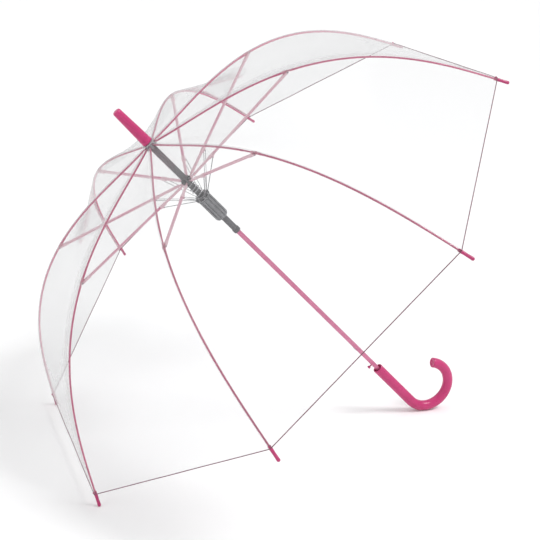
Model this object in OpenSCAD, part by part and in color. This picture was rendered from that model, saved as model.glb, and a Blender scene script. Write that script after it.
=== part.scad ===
// Clear dome umbrella with an automatic stick frame and a crook handle.
// It lies open on a flat floor: two rib tips and the crook touch the floor at Z = 0.
// Umbrella axes before posing: Z runs up the shaft to the ferrule, the crook curls toward +X,
// and the rib hinges at the crown lie in the plane Z = 0.

/* [Ribs and film] */
// Length of a rib along its curve, from the crown hinge to the film's corner
rib_len = 558; // [520:1:580]
// Diameter of a rib rod
rib_d = 3; // [2.6:0.1:3.4]
// Slope of a rib where it leaves the crown, in degrees below level
slope_0 = 9; // [8:0.5:10]
// First, second and third terms of the rib's slope along its length
slope_1 = -50; // [-52:1:-48]
slope_2 = 246; // [240:1:250]
slope_3 = -147; // [-149:1:-144]
// Thickness of the clear film
film_t = 0.3; // [0.2:0.05:0.5]
// Gap from a rib's centreline to the inside of the film
film_off = 2.3; // [2.2:0.1:2.6]
// How far the film sags inward midway between two ribs
film_sag = 16; // [0:1:22]
// Length of the cap on each rib tip, past the film's corner
tip_len = 18; // [12:1:22]
// Radius of the tip cap
tip_r = 2.7; // [2.4:0.1:3]

/* [Shaft and handle] */
// Outside diameter of the shaft
shaft_d = 8; // [7.6:0.1:8.4]
// Distance from the crown hinges down to the top of the handle
handle_z = 590; // [580:1:620]
// Straight length of the handle
grip_len = 102; // [90:1:120]
// Diameter of the handle
grip_d = 18; // [16:0.5:20]
// Radius of the crook's centreline
crook_r = 42; // [38:1:46]
// Angle through which the crook turns
crook_turn = 216; // [200:1:220]
// Height of the ferrule above its base
ferrule_len = 70; // [60:1:80]

/* [Opening gear] */
// Radius of the circle of hinges at the crown and at the hub
hinge_r = 7.6; // [7.5:0.1:7.8]
// Drop from the crown hinges to the stretcher pivot under each rib
pivot_drop = 42.2; // [42:0.1:43]
// Distance from the hub hinges out to the wire bracket on a stretcher
wire_out = 52; // [48:1:56]
// Drop from the crown hinges to the slider's wire holes
slider_z = 121; // [119:1:123]
// Drop from the crown hinges to the end of the runner tube
runner_end = 207; // [204:1:210]

/* [Hidden] */
$fn = 48;
e = 0.01;
shaft_r = shaft_d / 2;
rib_r = rib_d / 2;
grip_r = grip_d / 2;
steps = 24;
joint_i = 10;
function slope(u) = slope_0 + slope_1 * u + slope_2 * u * u + slope_3 * u * u * u;
function arc_r(i) = i <= 0 ? hinge_r : arc_r(i - 1) + rib_len / steps * cos(slope((i - 0.5) / steps));
function arc_z(i) = i <= 0 ? 0 : arc_z(i - 1) - rib_len / steps * sin(slope((i - 0.5) / steps));
rib = [for (i = [0:steps]) [arc_r(i), arc_z(i)]];
rib_slope = [for (i = [0:steps]) slope(i / steps)];
bend = rib[joint_i];
tip = rib[steps];
tip_slope = rib_slope[steps];
// The stretcher pivot hangs under the rib's bending point.
pivot = [bend[0] + 1.2, -pivot_drop];
chord = norm([pivot[0] - hinge_r, pivot[1]]);
chord_a = atan2(pivot_drop, pivot[0] - hinge_r);
hub_z = 2 * pivot_drop;
wire_pin = [hinge_r + wire_out * cos(chord_a) + 3.4 * sin(chord_a),
            -hub_z + wire_out * sin(chord_a) - 3.4 * cos(chord_a)];
wire_end_r = 10.8;
crook_c = [crook_r, -(handle_z + grip_len)];
// Floor line: it touches the tip caps' round ends and the crook.
cap_c = [tip[0] + tip_len * cos(tip_slope), tip[1] - tip_len * sin(tip_slope)];
foot = [-cap_c[0] * cos(22.5), cap_c[1]];
span = crook_c - foot;
up_a = atan2(span[1], span[0]) + acos((crook_r + grip_r - tip_r) / norm(span));
tilt = 90 - up_a;
floor_lift = tip_r - (foot[0] * cos(up_a) + foot[1] * sin(up_a));
// Shift that centres the whole umbrella on X = 0.
centre_x = 208.561;

ribs = [1:8];

// Puts the umbrella in the pose in which it lies on the floor.
module lie() {
  translate([-centre_x, 0, floor_lift])
    rotate([0, -tilt, 0])
      children();
}

// Turns a part made in the X-Z plane to the azimuth of rib k.
module at_rib(k) {
  rotate([0, 0, 22.5 + 45 * (k - 1)])
    children();
}

// Cross pin or eye along Y at a point of the X-Z plane.
module cross(p, r, w) {
  translate([p[0], w / 2, p[1]])
    rotate([90, 0, 0])
      cylinder(r = r, h = w);
}

// Straight round rod between two points of the X-Z plane.
module rod(a, b, r) {
  d = b - a;
  translate([a[0], 0, a[1]])
    rotate([0, 90 - atan2(d[1], d[0]), 0])
      cylinder(r = r, h = norm(d), $fn = 24);
}

// Tube of n sides swept along points of the X-Z plane, square to the slope at each.
module swept(pts, slopes, r, n = 8) {
  m = len(pts);
  v = [for (i = [0:m - 1]) for (j = [0:n - 1])
        [pts[i][0] + r * cos(360 * j / n) * sin(slopes[i]),
         r * sin(360 * j / n),
         pts[i][1] + r * cos(360 * j / n) * cos(slopes[i])]];
  sides = [for (i = [0:m - 2]) for (j = [0:n - 1])
        [i * n + j, i * n + (j + 1) % n, (i + 1) * n + (j + 1) % n, (i + 1) * n + j]];
  start = [[for (j = [0:n - 1]) n - 1 - j]];
  finish = [[for (j = [0:n - 1]) (m - 1) * n + j]];
  polyhedron(points = v, faces = concat(sides, start, finish), convexity = 4);
}

// ---- Fixed parts on the shaft ----

module shaft() {
  color("#d9628f") lie() difference() {
    translate([0, 0, -(handle_z + grip_len - 12)])
      cylinder(r = shaft_r, h = handle_z + grip_len - 12 + 14);
    translate([0, 0, -(handle_z + grip_len - 13)])
      cylinder(r = shaft_r - 0.8, h = handle_z + grip_len + 30);
    // Windows for the catch and the release button.
    translate([-shaft_r - 1, -1.4, -(handle_z - 57)])
      cube([shaft_r + 1, 2.8, 12]);
    translate([-shaft_r - 1, -1.6, -(handle_z - 10)])
      cube([shaft_r + 1, 3.2, 8]);
  }
}

module ferrule() {
  color("#cf4482") lie() difference() {
    union() {
      rotate_extrude()
        polygon([[0, 6.3], [8.6, 6.3], [8.9, 7], [8.7, 12], [6.9, 6.3 + ferrule_len - 2.4],
                 [6.2, 6.3 + ferrule_len - 0.6], [4.8, 6.3 + ferrule_len], [0, 6.3 + ferrule_len]]);
    }
    translate([0, 0, 6])
      cylinder(r = shaft_r + 0.02, h = 8.05);
  }
}

module top_washer() {
  color("#e8e8ea") lie() rotate_extrude()
    polygon([[shaft_r + 0.05, 4.9], [12.6, 4.4], [12.8, 4.9], [11.6, 6], [shaft_r + 0.05, 6.2]]);
}

module crown() {
  color("#9a9a9e") lie() difference() {
    rotate_extrude()
      polygon([[shaft_r + 0.02, -5], [9.2, -5], [9.8, -4.2], [9.8, 3.2], [9, 4.1], [shaft_r + 0.02, 4.1]]);
    for (k = ribs)
      at_rib(k) {
        translate([5.6, -1.75, -6])
          cube([10, 3.5, 8.4]);
      }
    rotate_extrude()
      translate([hinge_r, 0])
        circle(r = 0.5, $fn = 20);
  }
}

module crown_wire() {
  color("#8d8f93") lie() rotate_extrude()
    translate([hinge_r, 0])
      circle(r = 0.45, $fn = 20);
}

module handle() {
  color("#d1457f") lie() difference() {
    union() {
      translate([0, 0, -(handle_z + grip_len)])
        cylinder(r = grip_r, h = grip_len - 1);
      translate([0, 0, -handle_z - 1])
        cylinder(r1 = grip_r, r2 = grip_r - 0.7, h = 1);
      translate([crook_c[0], 0, crook_c[1]])
        rotate([90, 0, 0])
          rotate([0, 0, 180])
            rotate_extrude(angle = crook_turn)
              translate([crook_r, 0])
                circle(r = grip_r);
    }
    // Mouth and bore for the shaft, and a shallow dimple in the end of the crook.
    translate([0, 0, -handle_z - 5])
      cylinder(r = grip_r - 2, h = 10);
    translate([0, 0, -(handle_z + grip_len - 12)])
      cylinder(r = shaft_r + 0.02, h = grip_len + 10);
    translate([crook_c[0], 0, crook_c[1]])
      rotate([0, 180 - crook_turn, 0])
        translate([-crook_r, 0, -0.6])
          difference() {
            cylinder(r = 5.2, h = 4);
            cylinder(r = 2.2, h = 0.6);
          }
  }
}

// ---- Catch and release inside the shaft ----

module catch() {
  color("#a4a6aa") lie() {
    translate([-shaft_r - 0.7, -1.1, -(handle_z - 59)])
      cube([shaft_r + 0.7 - 0.4, 2.2, 8]);
  }
}

module release_button() {
  color("#c83f78") lie() {
    translate([-0.4, 0, -(handle_z - 14)])
      rotate([0, -90, 0])
        cylinder(r = 1.4, h = 8);
    translate([-8, 0, -(handle_z - 14)])
      rotate([0, -90, 0])
        cylinder(r = 3, h = 2.4);
    translate([-10.4, 0, -(handle_z - 14)])
      rotate([0, -90, 0])
        cylinder(r1 = 3, r2 = 2, h = 1);
  }
}

// ---- Runner, slider and spring ----

module runner() {
  color("#8f9195") lie() difference() {
    union() {
      translate([0, 0, -runner_end])
        cylinder(r = 5.4, h = runner_end - 6);
      // Collar at the lower end and the hub ring with its hinge slots.
      translate([0, 0, -runner_end])
        cylinder(r = 6.2, h = 6);
      rotate_extrude()
        polygon([[5, -hub_z - 4], [8.4, -hub_z - 4], [8.9, -hub_z - 3.4], [8.9, -hub_z + 3.4],
                 [8.2, -hub_z + 4.6], [5, -hub_z + 4.6]]);
    }
    translate([0, 0, -runner_end - 1])
      cylinder(r = shaft_r + 0.05, h = runner_end + 10);
    // Relief between the two guide rings.
    translate([0, 0, -runner_end + 8])
      cylinder(r = shaft_r + 0.5, h = runner_end - 6 - 16);
    // Slot in which the catch and the button's stem run.
    translate([-9, -1.8, -runner_end - 1])
      cube([9, 3.6, 68]);
    for (k = ribs)
      at_rib(k)
        translate([5.75, -1.3, -hub_z - 6])
          cube([10, 2.6, 14]);
    translate([0, 0, -hub_z])
      rotate_extrude()
        translate([hinge_r, 0])
          circle(r = 0.5, $fn = 20);
  }
}

module hub_wire() {
  color("#8d8f93") lie() translate([0, 0, -hub_z])
    rotate_extrude()
      translate([hinge_r, 0])
        circle(r = 0.45, $fn = 20);
}

module slider() {
  color("#a9abaf") lie() difference() {
    union() {
      translate([0, 0, -slider_z - 49])
        cylinder(r = 9.8, h = 46);
      for (k = [0:11])
        rotate([0, 0, 30 * k])
          translate([8, -1.3, -slider_z - 47])
            cube([3.4, 2.6, 42]);
      rotate_extrude()
        polygon([[6, -slider_z - 5], [10, -slider_z - 5], [12.8, -slider_z - 2.6],
                 [12.8, -slider_z + 2.2], [12, -slider_z + 3], [6, -slider_z + 3]]);
    }
    translate([0, 0, -slider_z - 60])
      cylinder(r = 5.45, h = 80);
    // Notches that take the wires' lower ends.
    for (k = ribs)
      at_rib(k)
        translate([9.4, -3.5, -slider_z - 1.6])
          cube([8, 7, 8]);
  }
}

spring_turns = 4;
spring_top = -hub_z - 5.4;
spring_low = -slider_z + 4;
spring_n = spring_turns * 20;
module main_spring() {
  // Coil of round wire around the runner, between the hub and the slider.
  m = 6;
  r = 7.3;
  w = 0.7;
  pitch = (spring_top - spring_low) / spring_turns;
  lean = atan2(pitch, 2 * PI * r);
  v = [for (i = [0:spring_n]) let (a = i * 18, c = [r * cos(a), r * sin(a), spring_low + i * pitch / 20],
         n1 = [cos(a), sin(a), 0], n2 = [sin(lean) * sin(a), -sin(lean) * cos(a), cos(lean)])
         for (j = [0:m - 1]) c + w * cos(60 * j) * n1 + w * sin(60 * j) * n2];
  sides = [for (i = [0:spring_n - 1]) for (j = [0:m - 1])
        [i * m + j, i * m + (j + 1) % m, (i + 1) * m + (j + 1) % m, (i + 1) * m + j]];
  ends = [[for (j = [0:m - 1]) m - 1 - j], [for (j = [0:m - 1]) spring_n * m + j]];
  color("#b9bbbf") lie()
    polyhedron(points = v, faces = concat(sides, ends), convexity = 10);
}

// ---- Ribs ----

module rib_inner(k) {
  last = joint_i - 1;
  color("#dd6f9e") lie() at_rib(k) difference() {
    union() {
      cross([hinge_r, 0], 1.5, 2);
      swept([for (i = [0:last]) i == 0 ? [hinge_r + 0.9, -0.14] : rib[i]],
            [for (i = [0:last]) rib_slope[i]], rib_r);
      // Tang from the rod's end to the bend, with the stretcher's pivot under it.
      translate([rib[last][0], 0, rib[last][1]])
        rotate([0, rib_slope[last], 0])
          translate([-7, -0.8, -2.4])
            cube([7 + rib_len / steps, 1.6, 3.6]);
      cross(bend, 1.65, 1.6);
      cross(pivot, 2, 1.6);
      translate([pivot[0] - 4.5, -0.8, pivot[1] - 0.6])
        cube([5, 1.6, 3]);
    }
    cross([hinge_r, 0], 0.56, 4);
    cross(bend, 0.65, 4);
    cross(pivot, 0.65, 4);
  }
}

module rib_outer(k) {
  first = joint_i + 1;
  near = [bend[0] + 6.4 * cos(rib_slope[joint_i]), bend[1] - 6.4 * sin(rib_slope[joint_i])];
  back = tip + [0.4 * cos(tip_slope), -0.4 * sin(tip_slope)];
  seat = tip + [2 * cos(tip_slope), -2 * sin(tip_slope)];
  color("#dd6f9e") lie() at_rib(k) {
    swept(concat([near], [for (i = [first:steps]) rib[i]], [seat]),
          concat([rib_slope[joint_i]], [for (i = [first:steps]) rib_slope[i]], [tip_slope]), rib_r);
    // Fork that hinges on the tang at the bend.
    for (side = [-1, 1])
      translate([bend[0], side * 1.5, bend[1]]) {
        rotate([90, 0, 0])
          cylinder(r = 1.1, h = 0.8, center = true);
        rotate([0, rib_slope[joint_i], 0])
          translate([0, -0.4, 0])
            cube([10, 0.8, 1.2]);
      }
    cross(bend, 0.6, 3.4);
    // Cap on the tip, with a round end.
    translate([back[0], 0, back[1]])
      rotate([0, 90 + tip_slope, 0])
        rotate_extrude($fn = 32)
          polygon(concat([[0, 0], [tip_r, 0]],
                         [for (a = [0:10:80]) [tip_r * cos(a), tip_len - 0.4 + tip_r * sin(a)]],
                         [[0, tip_len - 0.4 + tip_r]]));
  }
}

// ---- Stretchers and their wires ----

module stretcher(k) {
  long = 2 * (pivot[0] - hinge_r) / 2 / cos(chord_a);
  color("#d8578d") lie() at_rib(k)
    translate([hinge_r, 0, -hub_z])
      rotate([0, -chord_a, 0])
        difference() {
          union() {
            // Eye in the hub, channel and fork at the rib.
            cross([0, 0], 1.5, 2);
            translate([0, -1, -1.1])
              cube([9, 2, 2.2]);
            translate([8, -1.8, -1.6])
              cube([long - 8 - 8, 3.6, 3.2]);
            for (side = [-1, 1]) {
              translate([long - 17, side * 2.6 - 0.4, -1.6])
                cube([17, 0.8, 3.2]);
              translate([long, side * 2.6, 0])
                rotate([90, 0, 0])
                  cylinder(r = 1.9, h = 0.8, center = true);
            }
            translate([long - 17, -3, -1.6])
              cube([8, 6, 3.2]);
            cross([long, 0], 0.6, 5.4);
            // Bracket for the wire pair.
            translate([wire_out - 6, -2.4, -2.4])
              cube([12, 4.8, 4.4]);
            cross([wire_out, -3.4], 1.5, 2);
            translate([wire_out - 1.5, -1, -3.4])
              cube([3, 2, 2]);
          }
          cross([0, 0], 0.56, 4);
          cross([wire_out, -3.4], 0.56, 8);
          // Open underside of the channel.
          translate([12, -1.1, -3])
            cube([wire_out - 6 - 14, 2.2, 3.8]);
          translate([wire_out + 8, -1.1, -3])
            cube([long - wire_out - 30, 2.2, 3.8]);
        }
}

module wire_pair(k) {
  low = [wire_end_r, -slider_z];
  color("#7f8287") lie() at_rib(k) {
    cross(wire_pin, 0.5, 5.4);
    for (side = [-1, 1]) {
      d = [low[0] - wire_pin[0], 0, low[1] - wire_pin[1]];
      l = norm(d);
      translate([wire_pin[0], side * 2.5, wire_pin[1]])
        rotate([0, 0, atan2(d[1], d[0])])
          rotate([0, acos(d[2] / l), 0])
            cylinder(r = 0.4, h = l, $fn = 16);
    }
    cross(low, 0.5, 5.4);
  }
}

// ---- Film ----
// One gore hangs between rib k and rib k + 1. It is made about its own middle plane.

sides = 8;
function film_pt(i, j, off, along) =
  let (a = rib_slope[i],
       s = i / steps,
       w = j / sides * 2 - 1,
       rr = rib[i][0] + off * sin(a) + along * cos(a),
       zz = rib[i][1] + off * cos(a) - along * sin(a),
       half = rr * sin(22.5) - 0.5,
       dip = film_sag * pow(1 - w * w, 1.5) * sin(180 * s))
  [rr * cos(22.5) - dip * sin(a), w * half, zz - dip * cos(a)];

// Rows of points run from one station of the rib to another; the first row starts a little further on.
module film(k, from, to, start) {
  rows = to - from;
  n = sides + 1;
  outer = [for (i = [from:to]) for (j = [0:sides]) film_pt(i, j, film_off + film_t, i == from ? start : 0)];
  inner = [for (i = [from:to]) for (j = [0:sides]) film_pt(i, j, film_off, i == from ? start : 0)];
  c = (rows + 1) * n;
  top = [for (i = [0:rows - 1]) for (j = [0:sides - 1]) for (h = [0, 1])
          h == 0 ? [i * n + j, (i + 1) * n + j, (i + 1) * n + j + 1]
                 : [i * n + j, (i + 1) * n + j + 1, i * n + j + 1]];
  under = [for (f = top) [f[0] + c, f[2] + c, f[1] + c]];
  left = [for (i = [0:rows - 1]) [i * n, i * n + c, (i + 1) * n + c, (i + 1) * n]];
  right = [for (i = [0:rows - 1])
            [i * n + sides, (i + 1) * n + sides, (i + 1) * n + sides + c, i * n + sides + c]];
  near = [for (j = [0:sides - 1]) [j, j + 1, j + 1 + c, j + c]];
  far = [for (j = [0:sides - 1])
          [rows * n + j, rows * n + j + c, rows * n + j + 1 + c, rows * n + j + 1]];
  color("#dfe3e6", 0.25) lie() rotate([0, 0, 45 * k])
    polyhedron(points = concat(outer, inner), faces = concat(top, under, left, right, near, far),
               convexity = 6);
}

shaft();
ferrule();
top_washer();
crown();
crown_wire();
handle();
release_button();
catch();
runner();
hub_wire();
slider();
main_spring();
for (k = ribs) {
  rib_inner(k);
  rib_outer(k);
  stretcher(k);
  wire_pair(k);
  film(k, 0, joint_i, 4);
  film(k, joint_i, steps, 0.7);
}
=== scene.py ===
"""Looks for the clear dome umbrella: film, ribs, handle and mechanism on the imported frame."""
import math
import bmesh
import bpy
from mathutils import Matrix, Vector, noise


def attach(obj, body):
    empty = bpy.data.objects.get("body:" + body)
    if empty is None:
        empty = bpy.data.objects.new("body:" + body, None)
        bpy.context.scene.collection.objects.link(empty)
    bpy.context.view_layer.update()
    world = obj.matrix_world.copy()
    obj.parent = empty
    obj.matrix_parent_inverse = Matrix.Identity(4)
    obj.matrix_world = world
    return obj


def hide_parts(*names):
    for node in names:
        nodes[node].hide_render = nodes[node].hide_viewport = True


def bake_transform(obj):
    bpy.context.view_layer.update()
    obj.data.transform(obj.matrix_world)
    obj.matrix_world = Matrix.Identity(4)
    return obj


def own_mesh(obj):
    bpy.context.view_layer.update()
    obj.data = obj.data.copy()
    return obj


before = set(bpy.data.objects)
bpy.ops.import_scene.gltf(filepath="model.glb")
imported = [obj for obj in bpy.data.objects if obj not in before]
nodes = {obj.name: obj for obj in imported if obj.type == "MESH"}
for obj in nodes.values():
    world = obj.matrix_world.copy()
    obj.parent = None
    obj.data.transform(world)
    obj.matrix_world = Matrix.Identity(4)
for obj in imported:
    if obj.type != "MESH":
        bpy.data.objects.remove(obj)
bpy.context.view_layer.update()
MM = 0.001

# ---------------------------------------------------------------- camera
camera = bpy.data.objects.new("camera", bpy.data.cameras.new("camera"))
bpy.context.collection.objects.link(camera)
camera.location = (-0.6484, -1.7150, 0.9102)
camera.rotation_euler = tuple(math.radians(a) for a in (71.3196, -2.6613, -19.7501))
camera.data.lens = 77.89
camera.data.sensor_width = 36
camera.data.clip_start, camera.data.clip_end = 0.02, 80
bpy.context.scene.camera = camera

# ---------------------------------------------------------------- the umbrella's own axes, as in the CAD (mm)
TILT = math.radians(45.18988)
LIE = (Matrix.Translation((-208.561 * MM, 0, 508.8968 * MM))
       @ Matrix.Rotation(-TILT, 4, "Y") @ Matrix.Scale(MM, 4))
RIB_LEN, STEPS, BEND_I = 558.0, 24, 10
GORES = 8
HINGE_R, HALF = 7.6, math.radians(180 / GORES)
ROD_R = 1.5


def rib_frame(k):
    return LIE @ Matrix.Rotation(HALF * (2 * k - 1), 4, "Z")


def gore_frame(k):
    return LIE @ Matrix.Rotation(HALF * 2 * k, 4, "Z")


def slope(u):
    """Downward slope of a rib at share u of its length."""
    return math.radians(9 - 50 * u + 246 * u * u - 147 * u ** 3)


stations = [Vector((HINGE_R, 0, 0))]
for i in range(STEPS):
    a = slope((i + 0.5) / STEPS)
    stations.append(stations[-1] + Vector((math.cos(a), 0, -math.sin(a))) * (RIB_LEN / STEPS))
BEND, TIP = stations[BEND_I], stations[STEPS]
TIP_SLOPE = slope(1)
PIVOT = Vector((BEND.x + 1.2, 0, -42.2))


def along(u):
    """Point on a rib's centreline at share u of its length."""
    i = min(int(u * STEPS), STEPS - 1)
    t = u * STEPS - i
    p0, p1, h = stations[i], stations[i + 1], RIB_LEN / STEPS
    a0, a1 = slope(i / STEPS), slope((i + 1) / STEPS)
    t0, t1 = Vector((math.cos(a0), 0, -math.sin(a0))) * h, Vector((math.cos(a1), 0, -math.sin(a1))) * h
    return (p0 * (2 * t ** 3 - 3 * t * t + 1) + t0 * (t ** 3 - 2 * t * t + t)
            + p1 * (3 * t * t - 2 * t ** 3) + t1 * (t ** 3 - t * t))


# ---------------------------------------------------------------- mesh helpers
def oval(centre, a, b, n):
    """Ring of n points round centre, with half axes a and b."""
    return [centre + a * math.cos(2 * math.pi * j / n) + b * math.sin(2 * math.pi * j / n) for j in range(n)]


class Shape:
    """Gathers rings, plates and turned bodies into one mesh."""

    def __init__(self):
        self.v, self.f = [], []

    def rings(self, rings, close=(True, True)):
        """Skins a list of rings that have the same number of points."""
        start, n = len(self.v), len(rings[0])
        for r in rings:
            self.v += r
        for i in range(len(rings) - 1):
            for j in range(n):
                a, b = start + i * n + j, start + i * n + (j + 1) % n
                self.f.append((a, b, b + n, a + n))
        if close[0]:
            self.f.append(tuple(start + j for j in reversed(range(n))))
        if close[1]:
            self.f.append(tuple(start + (len(rings) - 1) * n + j for j in range(n)))

    def sweep(self, pts, sizes, n=16, close=(True, True)):
        """Sweeps an oval along points that lie in the X-Z plane. sizes are (half width in Y, half height)."""
        rings = []
        for i, p in enumerate(pts):
            t = (pts[min(i + 1, len(pts) - 1)] - pts[max(i - 1, 0)]).normalized()
            up = t.cross(Vector((0, 1, 0))).normalized()
            side = up.cross(t)
            w, h = sizes[i] if isinstance(sizes, list) else sizes
            rings.append(oval(p, side * w, up * h, n))
        self.rings(rings, close)

    def turned(self, profile, origin, axis, n=32, close=(True, True)):
        """Turns a profile of (distance along the axis, radius) about an axis through origin."""
        axis = axis.normalized()
        one = axis.orthogonal().normalized()
        two = axis.cross(one)
        self.rings([oval(origin + axis * z, one * r, two * r, n) for z, r in profile], close)

    def plate(self, outline, y0, y1):
        """A flat plate in the X-Z plane between two values of Y."""
        self.rings([[Vector((x, y, z)) for x, z in outline] for y in (y0, y1)])

    def piece(self, name, matrix, material, angle=35):
        """Makes the Blender object; edges sharper than the angle stay crisp."""
        mesh = bpy.data.meshes.new(name)
        mesh.from_pydata([matrix @ v for v in self.v], [], self.f)
        mesh.update()
        o = bpy.data.objects.new(name, mesh)
        bpy.context.collection.objects.link(o)
        mesh.materials.append(material)
        fix_normals(mesh)
        smooth(mesh, angle)
        return o


def fix_normals(mesh):
    bm = bmesh.new()
    bm.from_mesh(mesh)
    bmesh.ops.recalc_face_normals(bm, faces=bm.faces)
    bm.to_mesh(mesh)
    bm.free()


def smooth(mesh, angle=35):
    """Smooth shading, with edges sharper than the angle kept crisp."""
    mesh.polygons.foreach_set("use_smooth", [True] * len(mesh.polygons))
    mesh.set_sharp_from_angle(angle=math.radians(angle))


def rounded(p, q, r, n=10):
    """Outline of a bar with round ends between two points, as (x, z) pairs."""
    d = math.atan2(q[1] - p[1], q[0] - p[0])
    out = []
    for c, turn in ((q, -90), (p, 90)):
        for j in range(n + 1):
            a = d + math.radians(turn + 180 * j / n)
            out.append((c[0] + r * math.cos(a), c[1] + r * math.sin(a)))
    return out


# ---------------------------------------------------------------- materials
def new_material(name):
    m = bpy.data.materials.new(name)
    m.use_nodes = True
    t = m.node_tree
    t.nodes.clear()
    out = t.nodes.new("ShaderNodeOutputMaterial")
    return m, t, out


def set_value(node, socket, value):
    node.inputs[socket].default_value = value


def noise_node(t, coord, scale, detail=3.0, rough=0.55, stretch=None):
    src = coord
    if stretch:
        mp = t.nodes.new("ShaderNodeMapping")
        mp.inputs["Scale"].default_value = stretch
        t.links.new(coord, mp.inputs["Vector"])
        src = mp.outputs["Vector"]
    n = t.nodes.new("ShaderNodeTexNoise")
    set_value(n, "Scale", scale)
    set_value(n, "Detail", detail)
    set_value(n, "Roughness", rough)
    t.links.new(src, n.inputs["Vector"])
    return n


def ranged(t, source, low, high, start=0.3, stop=0.7):
    r = t.nodes.new("ShaderNodeMapRange")
    set_value(r, "From Min", start)
    set_value(r, "From Max", stop)
    set_value(r, "To Min", low)
    set_value(r, "To Max", high)
    t.links.new(source, r.inputs["Value"])
    return r.outputs["Result"]


def two_tone(t, fac, dark, light):
    c = t.nodes.new("ShaderNodeValToRGB")
    c.color_ramp.elements[0].color = (*dark, 1)
    c.color_ramp.elements[1].color = (*light, 1)
    c.color_ramp.elements[0].position = 0.3
    c.color_ramp.elements[1].position = 0.72
    t.links.new(fac, c.inputs["Fac"])
    return c.outputs["Color"]


def solid(name, dark, light, rough=(0.25, 0.35), metallic=0.0, coat=0.0, coat_rough=0.05, tone_scale=40,
          grain_scale=900, bump=0.04, specular=0.5, wear=None, stretch=None):
    """A moulded or painted surface: tone that drifts, uneven gloss, fine grain, and paler worn edges."""
    m, t, out = new_material(name)
    b = t.nodes.new("ShaderNodeBsdfPrincipled")
    co = t.nodes.new("ShaderNodeTexCoord").outputs["Object"]
    tone = noise_node(t, co, tone_scale, 4, 0.6, stretch)
    col = two_tone(t, tone.outputs["Fac"], dark, light)
    if wear:
        g = t.nodes.new("ShaderNodeNewGeometry")
        edge = t.nodes.new("ShaderNodeMix")
        edge.data_type = "RGBA"
        t.links.new(ranged(t, g.outputs["Pointiness"], 0.0, 1.0, 0.515, 0.56), edge.inputs[0])
        t.links.new(col, edge.inputs[6])
        edge.inputs[7].default_value = (*wear, 1)
        col = edge.outputs[2]
    t.links.new(col, b.inputs["Base Color"])
    gloss = noise_node(t, co, tone_scale * 2.3, 5, 0.65, stretch)
    t.links.new(ranged(t, gloss.outputs["Fac"], rough[0], rough[1]), b.inputs["Roughness"])
    grain = noise_node(t, co, grain_scale, 2, 0.5, stretch)
    bp = t.nodes.new("ShaderNodeBump")
    set_value(bp, "Strength", bump)
    set_value(bp, "Distance", 0.0004)
    t.links.new(grain.outputs["Fac"], bp.inputs["Height"])
    t.links.new(bp.outputs["Normal"], b.inputs["Normal"])
    set_value(b, "Metallic", metallic)
    set_value(b, "Coat Weight", coat)
    set_value(b, "Coat Roughness", coat_rough)
    set_value(b, "Specular IOR Level", specular)
    t.links.new(b.outputs["BSDF"], out.inputs["Surface"])
    return m


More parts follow.
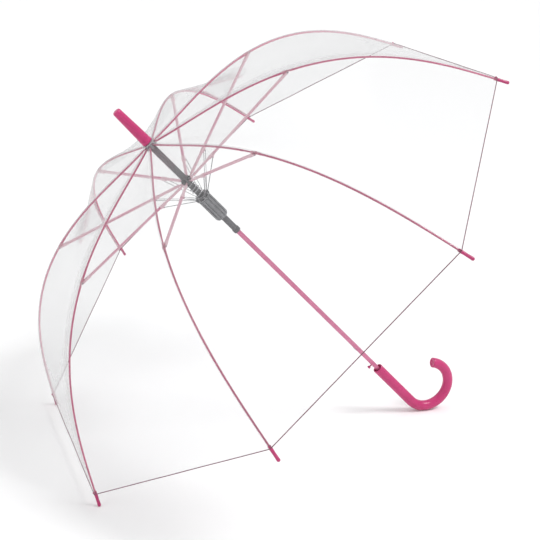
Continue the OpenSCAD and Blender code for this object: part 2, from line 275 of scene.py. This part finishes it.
def clear(name, tint_face, tint_edge, body, body_share, gloss_rough=0.12, ripple=0.35, ripple_scale=9):
    """Clear plastic film: it passes light with a slight tint that deepens where it is seen edge-on,
    mirrors lights by its own gloss, and carries a faint milky share in its body."""
    m, t, out = new_material(name)
    co = t.nodes.new("ShaderNodeTexCoord").outputs["Object"]
    # Soft waves of the stretched film and a finer orange peel.
    wave = noise_node(t, co, ripple_scale, 2, 0.45)
    peel = noise_node(t, co, 70, 3, 0.5)
    b1 = t.nodes.new("ShaderNodeBump")
    set_value(b1, "Strength", ripple)
    set_value(b1, "Distance", 0.02)
    t.links.new(wave.outputs["Fac"], b1.inputs["Height"])
    b2 = t.nodes.new("ShaderNodeBump")
    set_value(b2, "Strength", 0.12)
    set_value(b2, "Distance", 0.0006)
    t.links.new(peel.outputs["Fac"], b2.inputs["Height"])
    t.links.new(b1.outputs["Normal"], b2.inputs["Normal"])
    normal = b2.outputs["Normal"]
    # Tint by the angle of the film itself, as a longer way through the plastic gives it.
    lw = t.nodes.new("ShaderNodeLayerWeight")
    set_value(lw, "Blend", 0.5)
    power = t.nodes.new("ShaderNodeMath")
    power.operation = "POWER"
    t.links.new(lw.outputs["Facing"], power.inputs[0])
    power.inputs[1].default_value = 2.2
    tint = t.nodes.new("ShaderNodeMix")
    tint.data_type = "RGBA"
    t.links.new(power.outputs[0], tint.inputs[0])
    tint.inputs[6].default_value = (*tint_face, 1)
    tint.inputs[7].default_value = (*tint_edge, 1)
    see = t.nodes.new("ShaderNodeBsdfTransparent")
    t.links.new(tint.outputs[2], see.inputs["Color"])
    # The milky share drifts a little over the film.
    milk = t.nodes.new("ShaderNodeBsdfPrincipled")
    cloud = noise_node(t, co, 5.5, 3, 0.5)
    milk_tone = two_tone(t, cloud.outputs["Fac"], tuple(c * 0.94 for c in body), body)
    t.links.new(milk_tone, milk.inputs["Base Color"])
    set_value(milk, "Roughness", 0.3)
    t.links.new(normal, milk.inputs["Normal"])
    share = ranged(t, cloud.outputs["Fac"], body_share * 0.5, body_share * 1.5)
    deeper = t.nodes.new("ShaderNodeMath")
    deeper.operation, deeper.use_clamp = "MULTIPLY_ADD", True
    t.links.new(power.outputs[0], deeper.inputs[0])
    deeper.inputs[1].default_value = 0.42
    t.links.new(share, deeper.inputs[2])
    with_milk = t.nodes.new("ShaderNodeMixShader")
    t.links.new(deeper.outputs[0], with_milk.inputs["Fac"])
    t.links.new(see.outputs[0], with_milk.inputs[1])
    t.links.new(milk.outputs[0], with_milk.inputs[2])
    # Gloss.
    mirror = t.nodes.new("ShaderNodeBsdfGlossy")
    set_value(mirror, "Roughness", gloss_rough)
    t.links.new(normal, mirror.inputs["Normal"])
    fres = t.nodes.new("ShaderNodeFresnel")
    set_value(fres, "IOR", 1.42)
    t.links.new(normal, fres.inputs["Normal"])
    soften = t.nodes.new("ShaderNodeMath")
    soften.operation = "MULTIPLY"
    t.links.new(fres.outputs[0], soften.inputs[0])
    soften.inputs[1].default_value = 0.6
    top = t.nodes.new("ShaderNodeMixShader")
    t.links.new(soften.outputs[0], top.inputs["Fac"])
    t.links.new(with_milk.outputs[0], top.inputs[1])
    t.links.new(mirror.outputs[0], top.inputs[2])
    t.links.new(top.outputs[0], out.inputs["Surface"])
    return m


FILM = clear("clear_film", (0.958, 0.961, 0.962), (0.90, 0.905, 0.908), (0.95, 0.95, 0.955), 0.02,
             gloss_rough=0.12, ripple=0.10)
SEAM = clear("welded_seam", (0.95, 0.93, 0.94), (0.74, 0.72, 0.73), (0.95, 0.94, 0.945), 0.07,
             gloss_rough=0.12, ripple=0.08, ripple_scale=60)
HEM = solid("hem_piping", (0.13, 0.035, 0.065), (0.20, 0.06, 0.10), (0.25, 0.4), coat=0.2, tone_scale=60)
PINK = solid("pink_plastic", (0.46, 0.028, 0.135), (0.54, 0.042, 0.170), (0.24, 0.34), coat=0.25,
             coat_rough=0.16, tone_scale=18, bump=0.03, specular=0.3)
PINK_CAP = solid("pink_cap_plastic", (0.40, 0.020, 0.120), (0.47, 0.030, 0.145), (0.26, 0.36), coat=0.2,
                 tone_scale=90, bump=0.05)
ROD = solid("pink_rib_paint", (0.50, 0.048, 0.155), (0.58, 0.07, 0.20), (0.22, 0.34), metallic=0.15,
            coat=0.35, tone_scale=120, bump=0.05, wear=(0.66, 0.25, 0.34))
SHAFT = solid("pink_shaft_lacquer", (0.53, 0.125, 0.25), (0.63, 0.20, 0.33), (0.2, 0.3), metallic=0.4,
              coat=0.5, tone_scale=60, bump=0.03)
CHANNEL = solid("pink_channel_paint", (0.55, 0.10, 0.23), (0.66, 0.19, 0.33), (0.24, 0.38), metallic=0.2,
                coat=0.3, tone_scale=150, bump=0.05, wear=(0.75, 0.5, 0.56))
GREY = solid("grey_moulded_plastic", (0.22, 0.22, 0.23), (0.31, 0.31, 0.322), (0.34, 0.5), tone_scale=90,
             grain_scale=1500, bump=0.12, specular=0.35)
GREY_LIGHT = solid("grey_tube_plastic", (0.108, 0.105, 0.112), (0.155, 0.152, 0.160), (0.26, 0.40),
                   tone_scale=90, grain_scale=1500, bump=0.1, specular=0.35)
STEEL = solid("drawn_steel_wire", (0.20, 0.20, 0.215), (0.30, 0.30, 0.32), (0.22, 0.36), metallic=0.85,
              tone_scale=200, bump=0.06)
SPRING = solid("spring_steel", (0.45, 0.45, 0.47), (0.60, 0.60, 0.62), (0.18, 0.3), metallic=1.0,
               tone_scale=250, bump=0.05)
MILKY = clear("milky_washer", (0.88, 0.86, 0.87), (0.6, 0.6, 0.62), (0.92, 0.90, 0.91), 0.45,
              gloss_rough=0.1, ripple=0.1, ripple_scale=200)

# ---------------------------------------------------------------- CAD nodes that keep their shape
looks = {"shaft": SHAFT, "crown": GREY, "crown_wire": STEEL, "hub_wire": STEEL, "release_button": PINK_CAP,
         "catch": SPRING, "runner": GREY_LIGHT, "slider": GREY}
for k in range(1, GORES + 1):
    looks[f"stretcher_{k}"] = CHANNEL
    looks[f"wire_pair_{k}"] = STEEL
for name, material in looks.items():
    slots = nodes[name].material_slots
    if slots:
        for s in slots:
            s.material = material
    else:
        nodes[name].data.materials.append(material)

# ---------------------------------------------------------------- handle, ferrule, spring and rosette
GRIP_TOP, GRIP_LEN, GRIP_R, CROOK_R, TURN = -590.0, 102.0, 9.0, 42.0, 216.0
handle = Shape()
down, n = Vector((0, 0, -1)), 56


def handle_ring(p, t, r):
    """Ring of the handle square to the direction t."""
    return oval(p, Vector((0, r, 0)), t.cross(Vector((0, 1, 0))).normalized() * r, n)


# (depth below the top, radius): up out of the bore, over the rounded lip and onto the grip.
LIP = 1.6
mouth = [(4.9, 4.1), (4.9, 6.9), (1.0, 7.0), (0.35, 7.15), (0.0, 7.6), (0.0, 8.25), (0.25, 8.65), (0.8, 8.93),
         (LIP, GRIP_R)]
rings = [handle_ring(Vector((0, 0, GRIP_TOP - d)), down, r) for d, r in mouth]
for j in range(1, 13):
    rings.append(handle_ring(Vector((0, 0, GRIP_TOP - LIP - (GRIP_LEN - LIP) * j / 12)), down, GRIP_R))


def crook(angle):
    """Point and direction of the crook's centreline after a turn of so many degrees."""
    a = math.radians(angle)
    return (Vector((CROOK_R - CROOK_R * math.cos(a), 0, GRIP_TOP - GRIP_LEN - CROOK_R * math.sin(a))),
            Vector((math.sin(a), 0, -math.cos(a))))


mm_turn = math.degrees(1 / CROOK_R)
for j in range(1, 91):
    p, t = crook((TURN - 1.4 * mm_turn) * j / 90)
    rings.append(handle_ring(p, t, GRIP_R))
# (distance back from the end, radius): rounded edge, flat rim, and a plug set in the end.
end_face = [(0.9, 8.93), (0.35, 8.7), (0.08, 8.35), (0, 7.9), (0, 5.4), (0.15, 5.2), (0.75, 5.05), (0.75, 2.3),
            (0.3, 2.05), (0.2, 1.6)]
for back, r in end_face:
    p, t = crook(TURN - back * mm_turn)
    rings.append(handle_ring(p, t, r))
handle.rings(rings)
o = handle.piece("crook_handle", LIE, PINK, angle=50)
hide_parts("handle"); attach(o, "stick")

ferrule = Shape()
# (height, radius): bore, collar with a groove over it, long taper and rounded top.
profile = [(6.3, 4.1), (6.3, 8.3), (6.55, 8.75), (7.2, 8.9), (8.2, 8.88), (11.4, 8.72), (12.1, 8.5), (12.5, 8.52),
           (12.9, 8.64)]
profile += [(12.9 + 60.6 * j / 14, 8.64 - 1.78 * (j / 14) ** 1.05) for j in range(1, 15)]
profile += [(74.2, 6.72), (75.2, 6.35), (75.9, 5.7), (76.2, 4.9), (76.3, 3.9), (76.3, 1.2)]
ferrule.turned(profile, Vector((0, 0, 0)), Vector((0, 0, 1)), 56)
o = ferrule.piece("ferrule_cap", LIE, PINK, angle=50)
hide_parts("ferrule"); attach(o, "stick")

rosette = Shape()
lobes, around = 16, 128
rings = []
# (radius, height, depth of the scallops), out under the washer and back over it.
section = [(4.15, 4.9, 0), (5.2, 4.75, 0), (7.5, 4.7, 0.1), (9.6, 4.75, 0.25), (11.2, 4.8, 0.4), (12.3, 4.8, 0.55),
           (12.75, 5.0, 0.55), (12.5, 5.35, 0.55), (11.2, 5.35, 0.4), (9.6, 5.4, 0.25), (7.5, 5.5, 0.1),
           (4.15, 5.9, 0)]
for r, z, wave in section:
    ring = []
    for j in range(around):
        a = 2 * math.pi * j / around
        rr = r - wave * (1 - math.cos(lobes * a)) * 0.9
        ring.append(Vector((rr * math.cos(a), rr * math.sin(a), z + wave * 0.8 * math.sin(lobes * a))))
    rings.append(ring)
rosette.rings(rings, (False, False))
inner_edge = len(rings) - 1
for j in range(around):
    a, b = j, (j + 1) % around
    rosette.f.append((inner_edge * around + a, inner_edge * around + b, b, a))
o = rosette.piece("rosette", LIE, MILKY, angle=60)
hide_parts("top_washer"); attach(o, "stick")

coil = Shape()
top, low, turns, coil_r, wire_r, per_turn = -89.8, -117.0, 4, 7.3, 0.7, 48
pitch = (top - low) / turns
lean = math.atan2(pitch, 2 * math.pi * coil_r)
rings = []
for i in range(turns * per_turn + 1):
    a = 2 * math.pi * i / per_turn
    n1 = Vector((math.cos(a), math.sin(a), 0))
    n2 = Vector((math.sin(lean) * math.sin(a), -math.sin(lean) * math.cos(a), math.cos(lean)))
    # The end turns lie flat, as on a ground spring.
    s = i / (turns * per_turn)
    ease = s - 0.035 * math.sin(4 * math.pi * s)
    c = Vector((coil_r * math.cos(a), coil_r * math.sin(a), low + (top - low) * ease))
    rings.append(oval(c, n1 * wire_r, n2 * wire_r, 10))
coil.rings(rings)
o = coil.piece("coil_spring", LIE, SPRING)
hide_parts("main_spring"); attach(o, "runner")
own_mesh(o)

# ---------------------------------------------------------------- ribs
STATION = 1 / STEPS
tip_dir = Vector((math.cos(TIP_SLOPE), 0, -math.sin(TIP_SLOPE)))
bend_dir = Vector((math.cos(slope(BEND_I / STEPS)), 0, -math.sin(slope(BEND_I / STEPS))))
bend_up = Vector((-bend_dir.z, 0, bend_dir.x))
for k in range(1, GORES + 1):
    m = rib_frame(k)
    # Inner half: eye at the crown, rod, and a tang flattened for the joint.
    s = Shape()
    s.turned([(-1, 0.6), (-1, 1.25), (-0.8, 1.5), (0.8, 1.5), (1, 1.25), (1, 0.6)],
             Vector((HINGE_R, 0, 0)), Vector((0, 1, 0)), 24)
    pts, sizes = [], []
    for j in range(73):
        u = 0.0022 + (BEND_I - 0.13) * STATION * j / 72
        pts.append(along(u))
        flat = max(0.0, min(1.0, (u - 8.95 * STATION) / (0.35 * STATION)))
        flat = flat * flat * (3 - 2 * flat)
        neck = max(0.0, 1 - u / 0.012)
        sizes.append((ROD_R - 0.7 * flat - 0.5 * neck, ROD_R + 0.35 * flat - 0.25 * neck))
    s.sweep(pts, sizes, 20)
    s.plate(rounded((BEND.x - 5 * bend_dir.x, BEND.z - 5 * bend_dir.z), (BEND.x, BEND.z), 2.3), -0.8, 0.8)
    s.plate(rounded((PIVOT.x - 4, PIVOT.z + 0.9), (PIVOT.x, PIVOT.z), 1.9), -0.79, 0.79)
    o = s.piece(f"rib_{k}_inner_rod", m, ROD, angle=40)
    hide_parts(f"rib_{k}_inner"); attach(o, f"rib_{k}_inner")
    # Outer half: fork, rivet and rod.
    s = Shape()
    for side in (-1, 1):
        root, end = BEND + bend_dir * 1.6 + bend_up * 0.62, BEND + bend_dir * 9.5 + bend_up * 0.3
        s.plate(rounded((root.x, root.z), (end.x, end.z), 0.62), side * 1.15, side * 1.85)
        s.plate(rounded((BEND.x, BEND.z), (root.x, root.z), 1.08), side * 1.14, side * 1.86)
        s.turned([(0, 1.05), (0.32, 0.95), (0.5, 0.6), (0.56, 0.15)],
                 BEND + Vector((0, side * 1.85, 0)), Vector((0, side, 0)), 18)
    s.turned([(-1.9, 0.6), (1.9, 0.6)], BEND, Vector((0, 1, 0)), 14)
    pts, sizes = [], []
    u0 = BEND_I * STATION + 5.4 / RIB_LEN
    for j in range(113):
        u = u0 + (1 - u0) * j / 112
        pts.append(along(u))
        swell = max(0.0, 1 - (u - u0) * RIB_LEN / 12)
        sizes.append((ROD_R + 0.38 * swell, ROD_R + 0.2 * swell))
    s.sweep(pts, sizes, 20)
    o = s.piece(f"rib_{k}_outer_rod", m, ROD, angle=40)
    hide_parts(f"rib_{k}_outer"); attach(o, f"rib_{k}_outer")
    # Cap on the tip, with the small eye that holds the film's corner.
    s = Shape()
    cap = [(-4.6, 1.62), (-4.6, 2.0), (-4.3, 2.3), (-3.4, 2.45), (-2.0, 2.45), (-1.5, 2.2), (-0.9, 2.2),
           (-0.5, 2.6), (0.2, 2.7)]
    cap += [(0.2 + 17.2 * j / 8, 2.7 - 0.28 * math.sin(math.pi * j / 8)) for j in range(1, 9)]
    cap += [(18 + 2.7 * math.sin(math.radians(d)), 2.7 * math.cos(math.radians(d)))
            for d in (0, 12, 25, 38, 50, 62, 73, 83)]
    s.turned(cap, TIP, tip_dir, 32)
    eye = TIP + tip_dir * -2.6 + Vector((tip_dir.z, 0, -tip_dir.x)) * -2.6
    ring = []
    for i in range(25):
        a = 2 * math.pi * i / 24
        ring.append(eye + (tip_dir * math.cos(a) + Vector((-tip_dir.z, 0, tip_dir.x)) * math.sin(a)) * 1.25)
    s.sweep(ring, (0.5, 0.5), 10)
    o = s.piece(f"rib_{k}_tip_cap", m, PINK_CAP, angle=45)
    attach(o, f"rib_{k}_outer")
    # Rivet heads of the stretcher's fork.
    s = Shape()
    for side in (-1, 1):
        s.turned([(0, 1.25), (0.3, 1.15), (0.55, 0.8), (0.65, 0.2)],
                 PIVOT + Vector((0, side * 3.0, 0)), Vector((0, side, 0)), 18)
    o = s.piece(f"stretcher_{k}_rivets", m, STEEL, angle=45)
    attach(o, f"stretcher_{k}")

# ---------------------------------------------------------------- film
OFF, SAG = 2.45, 16.0
ACROSS, HEM_STEPS = 48, 40


def film_point(u, w, k):
    """Point of a gore: share u along the ribs, w from -1 to 1 between them."""
    a, p = slope(u), along(u)
    r, z = p.x + OFF * math.sin(a), p.z + OFF * math.cos(a)
    free = (1 - w * w)
    dip = SAG * free ** 1.5 * math.sin(math.pi * u)
    # Shallow waves of stretched film, none at the seams.
    q = Vector((u * 7.0 + k * 3.1, w * 2.4 + k * 1.7, k * 0.9))
    dip += 0.9 * noise.noise(q) * free ** 0.7 * min(1.0, u * 5)
    # Short puckers that run in from the seams.
    gap = 1 - abs(w)
    dip += 0.22 * math.sin(u * 150 + k) * math.exp(-(gap / 0.10) ** 2 * 2.0) * gap * 8 * min(1, u * 4)
    return Vector((r * math.cos(HALF) - dip * math.sin(a), w * r * math.sin(HALF), z - dip * math.cos(a)))


def grid(name, rows, cols, point, matrix, material):
    """Sheet of rows by cols faces; point takes the two shares from 0 to 1."""
    v = [matrix @ point(i / rows, j / cols) for i in range(rows + 1) for j in range(cols + 1)]
    f = [(i * (cols + 1) + j, (i + 1) * (cols + 1) + j, (i + 1) * (cols + 1) + j + 1, i * (cols + 1) + j + 1)
         for i in range(rows) for j in range(cols)]
    mesh = bpy.data.meshes.new(name)
    mesh.from_pydata(v, [], f)
    mesh.update()
    mesh.polygons.foreach_set("use_smooth", [True] * len(mesh.polygons))
    mesh.materials.append(material)
    o = bpy.data.objects.new(name, mesh)
    bpy.context.collection.objects.link(o)
    return o


u_bend = BEND_I / STEPS
u_start = 4.0 / RIB_LEN
for k in range(1, GORES + 1):
    m = gore_frame(k)
    side = m.to_3x3() @ Vector((0, 1, 0))
    upper = grid(f"gore_{k}_film_upper", 44, ACROSS,
                 lambda i, j: film_point(u_start + (u_bend - u_start) * i, 2 * j - 1, k), m, FILM)
    lower = grid(f"gore_{k}_film_lower", 64, ACROSS,
                 lambda i, j: film_point(u_bend + (1 - u_bend) * i, 2 * j - 1, k), m, FILM)
    # Rolled hem between the two tips.
    s = Shape()
    pts = [film_point(1, 2 * j / HEM_STEPS - 1, k) for j in range(HEM_STEPS + 1)]
    rings = []
    for i, p in enumerate(pts):
        t = (pts[min(i + 1, HEM_STEPS)] - pts[max(i - 1, 0)]).normalized()
        up = t.cross(Vector((1, 0, 0))).normalized()
        out = up.cross(t)
        rings.append(oval(p, up * 0.78, out * 0.58, 10))
    s.rings(rings)
    hem = s.piece(f"gore_{k}_hem", m, HEM)
    # Welded seam along rib k.
    rm = rib_frame(k)

    def seam_point(i, j):
        u = u_start + (1 - u_start) * i
        a, p = slope(u), along(u)
        w = (j - 0.5) * 5.2
        h = OFF + 0.14 - abs(w) * math.tan(HALF) * math.sin(a)
        return Vector((p.x + h * math.sin(a), w, p.z + h * math.cos(a)))
    seam = grid(f"rib_{k}_seam", 130, 6, seam_point, rm, SEAM)
    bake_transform(seam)
    for o, body in ((upper, "upper"), (lower, "lower"), (hem, "lower")):
        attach(o, f"gore_{k}_{body}")
        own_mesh(o)
    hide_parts(f"film_{k}_upper")
    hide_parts(f"film_{k}_lower")
    for o, with_pieces in ((upper, ()), (lower, (hem, seam))):
        u0, u1 = (u_start, u_bend) if o is upper else (u_bend, 1)

# ---------------------------------------------------------------- stage and light
bpy.ops.mesh.primitive_plane_add(size=60, location=(0, 0, 0))
floor = bpy.context.object
floor.name = "floor"
fm, ft, fo = new_material("floor_white")
fb = ft.nodes.new("ShaderNodeBsdfPrincipled")
fb.inputs["Base Color"].default_value = (0.93, 0.93, 0.93, 1)
fb.inputs["Roughness"].default_value = 0.7
fb.inputs["Specular IOR Level"].default_value = 0.15
ft.links.new(fb.outputs[0], fo.inputs["Surface"])
floor.data.materials.append(fm)

world = bpy.data.worlds.new("studio")
bpy.context.scene.world = world
world.use_nodes = True
wt = world.node_tree
sky = wt.nodes.new("ShaderNodeTexCoord")
part = wt.nodes.new("ShaderNodeSeparateXYZ")
wt.links.new(sky.outputs["Generated"], part.inputs[0])
ramp = wt.nodes.new("ShaderNodeValToRGB")
ramp.color_ramp.elements[0].position, ramp.color_ramp.elements[0].color = 0.0, (0.92, 0.92, 0.925, 1)
ramp.color_ramp.elements[1].position, ramp.color_ramp.elements[1].color = 0.85, (0.62, 0.62, 0.625, 1)
extra = ramp.color_ramp.elements.new(0.35)
extra.color = (0.80, 0.80, 0.805, 1)
wt.links.new(part.outputs["Z"], ramp.inputs["Fac"])
wt.links.new(ramp.outputs["Color"], wt.nodes["Background"].inputs["Color"])
wt.nodes["Background"].inputs["Strength"].default_value = 0.95


def softbox(name, location, target, size, energy):
    light = bpy.data.lights.new(name, "AREA")
    light.shape = "RECTANGLE"
    light.size, light.size_y = size
    light.energy = energy
    o = bpy.data.objects.new(name, light)
    o.location = location
    o.rotation_euler = (Vector(target) - Vector(location)).to_track_quat("-Z", "Y").to_euler()
    bpy.context.collection.objects.link(o)
    return o


key = bpy.data.objects.new("key", bpy.data.lights.new("key", "SUN"))
key.data.energy, key.data.angle = 1.7, math.radians(24)
key.rotation_euler = Vector((-0.75, 0.55, -1.35)).to_track_quat("-Z", "Y").to_euler()
bpy.context.collection.objects.link(key)
softbox("top", (-0.3, 0.4, 3.0), (0, 0, 0.2), (2.2, 1.4), 10)
softbox("left", (-2.4, -0.6, 1.4), (0, 0, 0.3), (0.9, 1.6), 7)

view = bpy.context.scene.view_settings
view.view_transform = "Standard"
view.look = "None"
bpy.context.scene.cycles.transparent_max_bounces = 32
